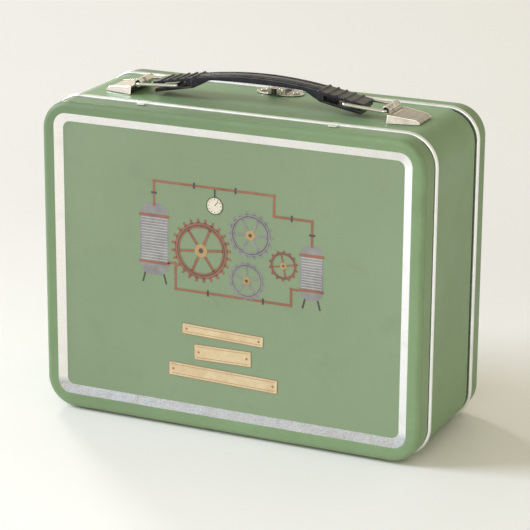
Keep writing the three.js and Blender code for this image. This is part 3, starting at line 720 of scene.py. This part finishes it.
def clip(name, cad, mirror, metal):
    """Drawn for the left end: a folded sheet with a rolled barrel for the bail."""
    px = CLIPS_X - PIVOT_X
    sheet = 0.8

    def at(x, y, h):
        return (px + x, HANDLE_Y + y, TOP_Z + h)

    # Along the clip: place, half width of the roof, height of the roof.
    rows = [(-2.5, 11.4, 4.4), (-9.0, 10.1, 3.55), (-16.8, 8.6, 2.5), (-18.8, 8.2, 0.95)]
    shells = []
    for deep in (0.0, sheet):
        loops = []
        for i, (x, half, h) in enumerate(rows):
            xx = x + (deep if i == len(rows) - 1 else 0.0)
            foot = half + LEAN * (h - SKIRT_LOW)
            roof = max(SKIRT_LOW + 0.02, h - deep)
            loops.append([
                at(xx, -foot + deep, SKIRT_LOW), at(xx, -half + deep, roof),
                at(xx, half - deep, roof), at(xx, foot - deep, SKIRT_LOW),
            ])
        shells.append(loops)
    points = [p for loops in shells for loop in loops for p in loop]
    n = len(rows) * 4

    def v(shell, row, k):
        return shell * n + row * 4 + k

    faces = []
    last = len(rows) - 1
    for row in range(last):
        for k in range(3):
            faces.append((v(0, row, k), v(0, row, k + 1), v(0, row + 1, k + 1), v(0, row + 1, k)))
            faces.append((v(1, row, k), v(1, row + 1, k), v(1, row + 1, k + 1), v(1, row, k + 1)))
        for k in (0, 3):
            faces.append((v(0, row, k), v(0, row + 1, k), v(1, row + 1, k), v(1, row, k)))
    for k in range(3):
        faces.append((v(0, 0, k), v(1, 0, k), v(1, 0, k + 1), v(0, 0, k + 1)))
    faces.append(tuple(v(0, last, k) for k in range(4)))
    faces.append(tuple(v(1, last, k) for k in (3, 2, 1, 0)))
    faces.append((v(0, last, 0), v(0, last, 3), v(1, last, 3), v(1, last, 0)))
    build = Build()
    build.add(points, faces, 0.5, 2, 24)

    # The rolled barrel: the sheet leaves the roof, curls up and round, and stops short of itself.
    barrel = Build()
    middle, thick, roll_h = 1.9, 0.7, PIVOT_H + 0.5
    path = [(-5.2, 3.66), (-4.1, 3.86), (-3.1, 4.25)]
    for step in range(23):
        a = math.radians(202 - 335 * step / 22)
        path.append((middle * math.cos(a), roll_h + middle * math.sin(a)))
    left, right = [], []
    for i, (x, h) in enumerate(path):
        before, after = path[max(0, i - 1)], path[min(len(path) - 1, i + 1)]
        d = Vector((after[0] - before[0], after[1] - before[1])).normalized()
        left.append((px + x - d.y * thick / 2, TOP_Z + h + d.x * thick / 2))
        right.append((px + x + d.y * thick / 2, TOP_Z + h - d.x * thick / 2))
    n = len(path)
    y0, y1 = HANDLE_Y - 7.6, HANDLE_Y + 7.6
    points = [(x, y, z) for y in (y0, y1) for side in (left, right) for x, z in side]
    faces = []
    for k in range(n - 1):
        faces.append((k, k + 1, 2 * n + k + 1, 2 * n + k))
        faces.append((n + k, 3 * n + k, 3 * n + k + 1, n + k + 1))
        faces.append((k, n + k, n + k + 1, k + 1))
        faces.append((2 * n + k, 2 * n + k + 1, 3 * n + k + 1, 3 * n + k))
    faces.append((0, 2 * n, 3 * n, n))
    faces.append((n - 1, 2 * n - 1, 4 * n - 1, 3 * n - 1))
    barrel.add(points, faces, 0.1, 1, 50)
    for side in (-1, 1):
        edge = HANDLE_Y + side * 9
        under = TOP_Z - SHEET - GAP
        tab_x = (px - 10.5, px - 7.5)
        foot_y = sorted((edge, edge - side * 3))
        build.box(tab_x, (edge - 0.4, edge + 0.4), (under - 0.8, TOP_Z + 1), 0.1, 1)
        build.box(tab_x, foot_y, (under - 0.8, under), 0.15, 1)
    flip = CLIPS_X if mirror else None
    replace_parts(build.finish(name, "shell", metal, flip, CLIP_RIDGE), cad)
    barrel.finish(name.replace("folded", "barrel"), "shell", DARK_NICKEL, flip)
    # Painted highlight, partly rubbed metal: thin pale tubes along the folds stand for the light the creases
    # catch.
    crease_highlights = Build()
    folds = [[at(x, side * half, h - 0.08) for x, half, h in rows] for side in (-1, 1)]
    folds += [[at(x, -half, h - 0.08), at(x, half, h - 0.08)] for x, half, h in (rows[0], rows[2])]
    x, half, h = rows[0]
    foot = half + LEAN * (h - SKIRT_LOW)
    folds += [[at(x, side * foot, 0.35), at(x, side * half, h)] for side in (-1, 1)]
    for fold in folds:
        crease_highlights.add(*tube([Vector(p) for p in fold], 0.27, 8, False))
    crease_highlights.finish(name.replace("folded", "crease_highlights"), "shell", CREASE_HIGHLIGHT, flip)
    # Painted shade: a near-black plate inside the clip's mouth stands for the shade in its hollow.
    shade_web = Build()
    shade_web.box((px - 3.3, px - 2.9), (HANDLE_Y - 10.5, HANDLE_Y + 10.5), (TOP_Z + 0.32, TOP_Z + 3.6), 0.1, 1)
    shade_web.finish(name.replace("folded", "inner_shade_web"), "shell", GAP_SHADE, flip)


# Painted light: the left clip takes the paler, lit copy of the nickel; the right keeps the warm nickel.
clip("left_clip_folded", "left_handle_clip", False, PALE_AND_LIT_NICKEL)
clip("right_clip_folded", "right_handle_clip", True, NICKEL)


# ---- grip ----
SLOT_HALF = 1.35
LIP_DROP = 0.6  # the bar's lips lie this far below its crown
# Heights over the box at places out from the grip's middle, then the bar's top across half its width.
CROWN = [(0, 15.1), (6, 15.03), (12, 14.8), (20, 14.2), (28, 13.3), (36, 12.2), (60.6, 7.6)]
ARCH = [(0, 12.1), (12, 12.0), (22, 11.75), (26, 11.45), (28.3, 10.9), (30.7, 9.6), (33.5, 8.0), (36.4, 6.5)]
BAR_TOP = [(0, 0.8), (1.2, 0.75), (2.4, 0.6), (3.1, 0.3), (3.3, -0.5), (3.5, -0.75), (5.4, -0.75),
           (5.6, -0.5), (5.8, 0.2), (6.15, 0.42), (6.8, 0.42), (7.1, 0.1), (7.2, -0.4)]


def slot_h(x):
    return 7.0 - 0.15 * (x - 48)


def plate_h(x):
    return 12.2 - 0.187 * (x - 36)


def along(rows, x):
    """The height at x on a row of corners given from the middle outwards."""
    for (x0, h0), (x1, h1) in zip(rows, rows[1:]):
        if x <= x1:
            t = (x - x0) / (x1 - x0)
            return h0 + (h1 - h0) * t
    return rows[-1][1]


def bar_section(x, low, wall):
    """The bar across Y: a crown, a groove and a lip each side, plain sides, and a hollow underneath."""
    lip = along(CROWN, abs(x)) - LIP_DROP
    right = [(y, lip + h) for y, h in BAR_TOP] + [(GRIP_HALF, low + 0.3), (GRIP_HALF - 0.2, low)]
    roof, inside = max(low + 0.05, lip - wall + 0.2), GRIP_HALF - wall
    right += [(inside + 0.15, low), (inside, low + 0.02)]
    right += [(inside - 0.1, roof - 0.02), (inside - 0.7, roof + 0.2)]
    left = [(-y, h) for y, h in right[1:]]
    section = right + [(0.0, roof + 0.35)] + left[::-1]
    return [(GRIP_X + x, HANDLE_Y + y, TOP_Z + h) for y, h in section]


def grip():
    """A hollow ribbed bar with a fork at each end that holds a bail."""
    build = Build()
    ends = [26, 27.2, 28.3, 29.5, 30.7, 32.1, 33.5, 34.8, 36.4]
    stations = [-x for x in reversed(ends)] + [-22 + 4 * k for k in range(12)] + ends
    rings = [bar_section(x, along(ARCH, abs(x)), 1.5) for x in stations]
    build.add(*skin(rings, False))
    # Painted shade: near-black strips laid in the bottoms of the bar's grooves.
    groove_shade_strips = Build()
    for side in (-1, 1):
        rows = []
        for x in stations:
            h = along(CROWN, abs(x)) - LIP_DROP
            rows.append([
                (GRIP_X + x, HANDLE_Y + side * y, TOP_Z + h + up)
                for y, up in ((3.45, -0.78), (3.45, -0.68), (5.45, -0.68), (5.45, -0.78))
            ])
        groove_shade_strips.add(*skin(rows, False))
    groove_shade_strips.finish("grip_groove_shade", "handle", GROOVE_SHADE)

    inside = GRIP_HALF - 1.2
    for k in range(-6, 7):  # ribs across the hollow underside
        x = 4.4 * k
        low, high = along(ARCH, abs(x)) + 0.35, along(CROWN, abs(x)) - 1.9
        build.box((GRIP_X + x - 0.45, GRIP_X + x + 0.45), (HANDLE_Y - inside, HANDLE_Y + inside),
                  (TOP_Z + low, TOP_Z + high), 0.12, 1)

    def across(half):
        return (HANDLE_Y - half, HANDLE_Y + half)

    for side in (-1, 1):
        def out(rows):
            return [(GRIP_X + side * a, TOP_Z + h) for a, h in rows]

        # The fork in one outline: upper plate with its end lip, pocket, lower plate.
        fork = [(34.6, plate_h(36) + 0.1), (36.6, plate_h(36.6)), (GRIP_END, plate_h(GRIP_END)),
                (GRIP_END, slot_h(GRIP_END) - 0.7), (58.2, slot_h(58.2) - 0.7)]
        fork += [(x, slot_h(x) + SLOT_HALF) for x in (58.2, 52, 46, 38.2)]
        fork += [(x, slot_h(x) - SLOT_HALF - 0.2) for x in (38.2, 46, 52, 59.4)]
        fork += [(59.4, 1.8), (36.4, 6.3), (34.6, 7.4)]
        build.prism(out(fork), 1, across(7.3), 0.4, 3)
        post = [(35.3, 7.1), (38.4, 6.25), (38.4, 11.3), (35.3, 12.0)]
        build.prism(out(post), 1, across(7.4), 0.9, 4)
        stop = [(38, 6.3), (43.7, slot_h(43.7) - 1.5), (43.7, slot_h(43.7) + 1.5), (38, 10)]
        build.prism(out(stop), 1, across(2.6), 0.2, 1)
        for k in range(5):
            x = 36.7 + 4.7 * k
            top = plate_h(x)
            rib = [(x - 1.05, top - 0.5), (x - 0.75, top + 0.62), (x - 0.35, top + 0.7), (x + 0.3, top + 0.5),
                   (x + 0.9, top - 0.5)]
            build.prism(out(rib), 1, across(7.22), 0.16, 2)
    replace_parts(build.finish("carrying_grip", "handle", PLASTIC, angle=38), "handle_grip")


grip()


# ---- latch ----
def disc(build, cx, cy, rx, ry, heights, count):
    """A stack of ovals; heights is rows of height and how far each oval pulls in."""
    rings = [
        [(cx + (rx - pull) * math.cos(math.tau * k / count),
          cy + (ry - pull) * math.sin(math.tau * k / count), TOP_Z + h) for k in range(count)]
        for h, pull in heights
    ]
    build.add(*skin(rings, False))


RIVET_X, RIVET_Y = 9.4, LATCH_Y + 0.5
PLATE_EDGE = [(0.3, 0.2), (0.45, 0.0), (0.8, 0.0), (0.95, 0.15), (1.0, 0.45), (0.82, 1.2), (0.78, 2.0)]
RIVET_TURN = [(-1.1, 0.2), (-0.5, 0.2), (-0.5, 1.1), (0.95, 1.1), (1.0, 0.1), (1.2, 0.0), (1.5, 0.35),
              (1.56, 0.8), (1.46, 1.05), (1.1, 1.2)]
# The front wall seen from above: a wide recess, then a narrow flute.
FRONT_WALL = [
    (-3.9, 14.35), (-3.9, 13.9), (-3.5, 13.55), (-2.2, 13.5), (-1.9, 13.7), (-1.8, 14.1), (1.2, 14.1),
    (1.35, 13.7), (1.6, 13.5), (1.8, 13.5), (2.0, 13.75), (2.3, 13.75), (2.5, 13.6), (3.4, 13.6), (3.8, 13.8),
    (3.9, 14.1), (3.9, 14.35),
]
base = Build()
disc(base, 0, LATCH_Y, 13.5, 7.2, PLATE_EDGE, 56)
for side in (-1, 1):
    x = sorted((side * 3.6, side * 4.4))
    ear = [(LATCH_PIVOT_Y - 1.7, TOP_Z + 0.5)]
    for step in range(11):
        a = math.pi - math.pi * step / 10
        ear.append((LATCH_PIVOT_Y + 1.6 * math.cos(a), TOP_Z + LATCH_PIVOT_H + 1.6 * math.sin(a)))
    ear.append((LATCH_PIVOT_Y + 1.9, TOP_Z + 0.5))
    base.prism(ear, 0, x, 0.15, 2)
    base.box((side * 5.4 - 0.7, side * 5.4 + 0.7), (LATCH_Y - 3.2, LATCH_Y + 4.2), (TOP_Z + 0.6, TOP_Z + 1.25),
             0.25, 2)
base.prism(FRONT_WALL, 2, (TOP_Z + 0.7, TOP_Z + 4.3), 0.12, 2)
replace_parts(base.finish("latch_base_plate", "shell", PALE_AND_LIT_NICKEL), "latch_base")

for which, side in (("left", -1), ("right", 1)):
    rivet = Build()
    disc(rivet, side * RIVET_X, RIVET_Y, 2.1, 2.1, RIVET_TURN, 28)
    head = rivet.finish(f"latch_rivet_{which}_head", "shell", NICKEL)
    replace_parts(head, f"latch_rivet_{which}")

# Painted shade: thin near-black strips in the latch's front slot and along the foot of its front wall.
slot_shade = Build()
slot_shade.box((-0.2, 1.25), (13.9, 14.0), (TOP_Z + 0.8, TOP_Z + 4.1), 0.03, 1)
slot_shade.box((-3.8, 3.7), (13.2, 13.45), (TOP_Z + 0.8, TOP_Z + 1.1), 0.03, 1)
slot_shade.finish("latch_front_slot_shade", "shell", GAP_SHADE)
rib = Build()
rib.box((-1.85, -0.3), (13.86, 14.0), (TOP_Z + 1.0, TOP_Z + 4.0), 0.08, 2)
rib.finish("latch_front_rib", "shell", DARK_NICKEL)
stain = Build()
disc(stain, -RIVET_X, RIVET_Y, 3.0, 2.6, [(0.7, 0.0), (0.84, 0.0)], 28)
stain.finish("latch_rust_ring", "shell", RUST)


def lever():
    """The strap that hooks over the rear rim: five strips side by side, the second and fourth sunk."""
    build = Build()
    top = [(15.0, 3.4), (15.6, 4.15), (16.4, 4.45), (18, 4.5), (26, 4.45), (30, 4.15), (32, 3.65), (33.1, 3.1),
           (33.6, 2.4), (33.6, 0.4)]
    under = [(32.75, 0.4), (32.55, 1.9), (31, 2.5), (26, 3.6), (18.4, 3.5), (17.4, 1.5), (15.9, 1.5),
             (15.1, 1.9)]
    strips = [(-3.3, -2.2, 0.0), (-2.2, -0.75, -0.5), (-0.75, 0.75, 0.0), (0.75, 2.2, -0.5), (2.2, 3.3, 0.0)]
    for x0, x1, drop in strips:
        raised = [(y, h + (drop if y < 32.5 else drop * 0.3)) for y, h in top[:-1]] + [top[-1]]
        outline = [(y, TOP_Z + h) for y, h in raised + under]
        build.prism(outline, 0, (x0 - 0.02, x1 + 0.02), 0.2, 2)
    strap = build.finish("latch_lever_strap", "lever", PALE_AND_LIT_NICKEL, angle=38)
    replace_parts(strap, "latch_lever")


lever()

# ---- the CAD nodes whose shape stays ----
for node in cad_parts.values():
    if node.hide_render:
        continue
    if not node.material_slots:
        node.data.materials.append(STEEL)
    for place in node.material_slots:
        place.link = "OBJECT"
        place.material = STEEL


# ---- print on the front panel: plain gears, two tanks, pipes, a dial and blank strips ----
PRINT_Y = -FACE_Y + RECESS
INK_STEP = 0.02


def decal(name, outlines, material, layer):
    """Flat printed shapes on the panel, each an outline in X and Z; higher layers cover lower ones."""
    build = Build()
    front = PRINT_Y - INK_STEP * (layer + 1)
    for outline in outlines:
        points = [(x, front, z) for x, z in outline]
        build.add(points, [tuple(range(len(points)))])
    build.bm.normal_update()
    for face in build.bm.faces:
        if face.normal.y > 0:
            face.normal_flip()
    mesh = build.to_mesh(name)
    mesh.materials.append(material)
    obj = new_object(name, mesh)
    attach(obj, "shell")


def circle(cx, cz, r, count):
    turns = (math.tau * k / count for k in range(count))
    return [(cx + r * math.cos(a), cz + r * math.sin(a)) for a in turns]


def bar_between(x0, z0, x1, z1, half):
    d = Vector((x1 - x0, z1 - z0)).normalized() * half
    return [(x0 - d.y, z0 + d.x), (x0 + d.y, z0 - d.x), (x1 + d.y, z1 - d.x), (x1 - d.y, z1 + d.x)]


def rounded_box(x0, z0, x1, z1, r, steps=6):
    points = []
    middles = ((x1 - r, z1 - r), (x0 + r, z1 - r), (x0 + r, z0 + r), (x1 - r, z0 + r))
    for quarter, (cx, cz) in enumerate(middles):
        for step in range(steps + 1):
            a = math.pi / 2 * (quarter + step / steps)
            points.append((cx + r * math.cos(a), cz + r * math.sin(a)))
    return points


def ring_band(cx, cz, outer, inner, count=48):
    """A flat ring as a row of four-sided pieces."""
    a, b = circle(cx, cz, outer, count), circle(cx, cz, inner, count)
    return [[a[k], a[(k + 1) % count], b[(k + 1) % count], b[k]] for k in range(count)]


def cog(cx, cz, r, teeth, turn):
    """Teeth standing on a rim of radius r."""
    out = []
    for k in range(teeth):
        a = turn + math.tau * k / teeth
        half, tip = 0.42 * math.pi / teeth, 0.28 * math.pi / teeth
        out.append([
            (cx + q * math.cos(a + d), cz + q * math.sin(a + d))
            for q, d in ((0.98 * r, -half), (1.13 * r, -tip), (1.13 * r, tip), (0.98 * r, half))
        ])
    return out


def spokes(cx, cz, inner, outer, count, half, turn):
    return [
        bar_between(cx + inner * math.cos(a), cz + inner * math.sin(a),
                    cx + outer * math.cos(a), cz + outer * math.sin(a), half)
        for a in (turn + math.tau * k / count for k in range(count))
    ]


WHEELS = [  # middle in X and Z, radius, teeth, spokes, turn, ink
    (-16, 101, 15.5, 24, 6, 0.1, INK_COPPER), (10.5, 88, 9.5, 16, 5, 0.3, INK_GREY),
    (12.5, 113, 11.5, 18, 6, 0.0, INK_GREY), (31.5, 99, 7.5, 14, 4, 0.2, INK_COPPER),
]
for k, (cx, cz, r, teeth, count, turn, ink) in enumerate(WHEELS):
    wheel = cog(cx, cz, r, teeth, turn) + ring_band(cx, cz, r, 0.80 * r)
    wheel += spokes(cx, cz, 0.2 * r, 0.82 * r, count, 0.035 * r + 0.25, turn)
    decal(f"print_wheel_{k}", wheel, ink, 4)
    decal(f"print_wheel_{k}_line", ring_band(cx, cz, 0.90 * r, 0.865 * r), INK_DARK, 5)
    decal(f"print_wheel_{k}_hub", [circle(cx, cz, 0.24 * r, 24)], INK_BRASS, 5)
    decal(f"print_wheel_{k}_bore", [circle(cx, cz, 0.09 * r, 16)], INK_DARK, 6)

# Two upright tanks with ribs, straps and feet, joined by pipes with flanges.
TANKS = [(-52, 84, -35, 124, 7.0), (41, 82, 54, 112, 5.5)]
decal("print_tanks", [rounded_box(*tank) for tank in TANKS], INK_GREY, 1)
ribs, straps, feet = [], [], []
for x0, z0, x1, z1, r in TANKS:
    count = round((z1 - z0 - 2 * r) / 1.5)
    for k in range(count + 1):
        z = z0 + r + (z1 - z0 - 2 * r) * k / count
        ribs.append(bar_between(x0 + 0.8, z, x1 - 0.8, z, 0.22))
    straps += [bar_between(x0 - 0.5, z, x1 + 0.5, z, 0.8) for z in (z0 + r, z1 - r)]
    feet += [bar_between(x + 3 * inward, z0 + 1, x + 1.5 * inward, z0 - 4.5, 0.55)
             for x, inward in ((x0, 1), (x1, -1))]
decal("print_tank_ribs", ribs, INK_PALE, 2)
decal("print_tank_straps", straps, INK_COPPER, 3)
decal("print_tank_feet", feet, INK_DARK, 0)
PIPES = [(-43.5, 123, -43.5, 136), (-43.5, 136, 26, 136), (26, 136, 26, 125), (26, 125, 47.5, 125),
         (47.5, 125, 47.5, 111), (-35, 92, -31, 92), (-31, 92, -31, 78), (-31, 78, 36, 78), (36, 78, 36, 87),
         (36, 87, 41, 87)]
decal("print_pipes", [bar_between(*pipe, 0.75) for pipe in PIPES], INK_COPPER, 2)
decal("print_pipe_bends", [circle(x, z, 0.95, 16) for x, z, _, _ in PIPES], INK_COPPER, 3)
# Flanges across a level pipe have 1, across an upright one 0.
FLANGES = [(-43.5, 129.5, 0), (-20, 136, 1), (4, 136, 1), (36, 125, 1), (47.5, 117.5, 0), (-12, 78, 1),
           (20, 78, 1)]
decal("print_flanges", [
    bar_between(x - 0.6 * flat, z - 0.6 * (1 - flat), x + 0.6 * flat, z + 0.6 * (1 - flat), 1.7)
    for x, z, flat in FLANGES
], INK_DARK, 3)
DIAL_X, DIAL_Z = -8, 126.5
decal("print_dial", [circle(DIAL_X, DIAL_Z, 4.6, 40)], INK_CREAM, 4)
marks = ring_band(DIAL_X, DIAL_Z, 4.9, 4.35, 40) + spokes(DIAL_X, DIAL_Z, 3.2, 4.0, 12, 0.16, 0)
marks += [bar_between(DIAL_X, DIAL_Z, -6, 129, 0.2), bar_between(DIAL_X, 131.2, DIAL_X, 135.4, 0.5)]
decal("print_dial_marks", marks, INK_DARK, 5)

# Left, top, right and bottom of each blank strip, and its tilt in degrees.
STRIPS = [(-27, 58.6, 20.1, 53.2, -1.6), (-19.9, 48.5, 13.1, 40.3, 0.9), (-35, 35.8, 28.4, 28.6, -1.3)]
strips, borders, studs = [], [], []
for x0, z1, x1, z0, turn in STRIPS:
    middle, tilt = Vector(((x0 + x1) / 2, (z0 + z1) / 2)), Matrix.Rotation(math.radians(turn), 2)

    def turned(points):
        return [tuple(middle + tilt @ (Vector(p) - middle)) for p in points]

    strips.append(turned(rounded_box(x0, z0, x1, z1, 0.4, 3)))
    borders.append(turned(rounded_box(x0 - 0.3, z0 - 0.3, x1 + 0.3, z1 + 0.3, 0.5, 3)))
    for z in (z0 + 1.1, z1 - 1.1):
        studs.append(turned(bar_between(x0 + 1.2, z, x1 - 1.2, z, 0.12)))
    studs += [turned(circle(x, middle.y, 0.7, 16)) for x in (x0 + 2.4, x1 - 2.4)]
decal("print_strip_edges", borders, INK_TAN, 7)
decal("print_strips", strips, INK_LABEL, 8)
decal("print_strip_lines", studs, INK_TAN, 9)


# ---- floor ----
floor_mesh = bpy.data.meshes.new("floor")
floor_mesh.from_pydata([(-6, -6, 0), (6, -6, 0), (6, 6, 0), (-6, 6, 0)], [], [(0, 1, 2, 3)])
floor = new_object("floor", floor_mesh)
floor_mesh.materials.append(make_floor())


# ---- light ----
def area(name, place, target, size, power, colour, spread=180.0):
    light = bpy.data.lights.new(name, "AREA")
    light.shape = "RECTANGLE"
    light.size, light.size_y = size
    light.energy = power
    light.color = colour
    light.spread = math.radians(spread)
    obj = new_object(name, light)
    obj.location = place
    obj.rotation_euler = (Vector(target) - Vector(place)).to_track_quat("-Z", "Y").to_euler()


area("key", (-2.8, -1.16, 1.81), (0, 0, 0.09), (1.5, 1.5), 115, (0.76, 0.84, 1.0))
area("front", (0.5, -1.9, 1.0), (0, 0, 0.09), (1.6, 1.2), 8.5, (1, 1, 1))
# A small light through a grid throws the handle's shadow forward on the band.
area("rear_grid", (-0.75, 0.62, 0.66), (-0.02, -0.01, 0.18), (0.2, 0.2), 0.19, (1.0, 0.99, 0.95), 40)

world = bpy.data.worlds.new("studio")
world.use_nodes = True
nodes, links = world.node_tree.nodes, world.node_tree.links
sky_mix = nodes.new("ShaderNodeMix")
sky_mix.data_type = "RGBA"
sky_mix.inputs[6].default_value = (1.0, 0.925, 0.735, 1)  # near the horizon
sky_mix.inputs[7].default_value = (0.49, 0.453, 0.360, 1)  # overhead
direction = nodes.new("ShaderNodeTexCoord")
up_share = nodes.new("ShaderNodeSeparateXYZ")
links.new(direction.outputs["Generated"], up_share.inputs[0])
links.new(up_share.outputs["Z"], sky_mix.inputs[0])
links.new(sky_mix.outputs[2], nodes["Background"].inputs["Color"])
nodes["Background"].inputs["Strength"].default_value = 0.93
bpy.context.scene.world = world
bpy.context.scene.view_settings.view_transform = "Standard"

# ---- camera: place, then turn, tilt and roll in degrees ----
CAMERA_PLACE = (0.5029, -1.1021, 0.4611)
CAMERA_TURNS = (("Z", 24.468), ("X", 90 - 17.326), ("Z", 0.377))
optics = bpy.data.cameras.new("camera")
optics.lens = 159.1
optics.sensor_width = 36.0
camera = new_object("camera", optics)
stand = Matrix.Translation(CAMERA_PLACE)
for axis, degrees in CAMERA_TURNS:
    stand = stand @ Matrix.Rotation(math.radians(degrees), 4, axis)
camera.matrix_world = stand
bpy.context.scene.camera = camera
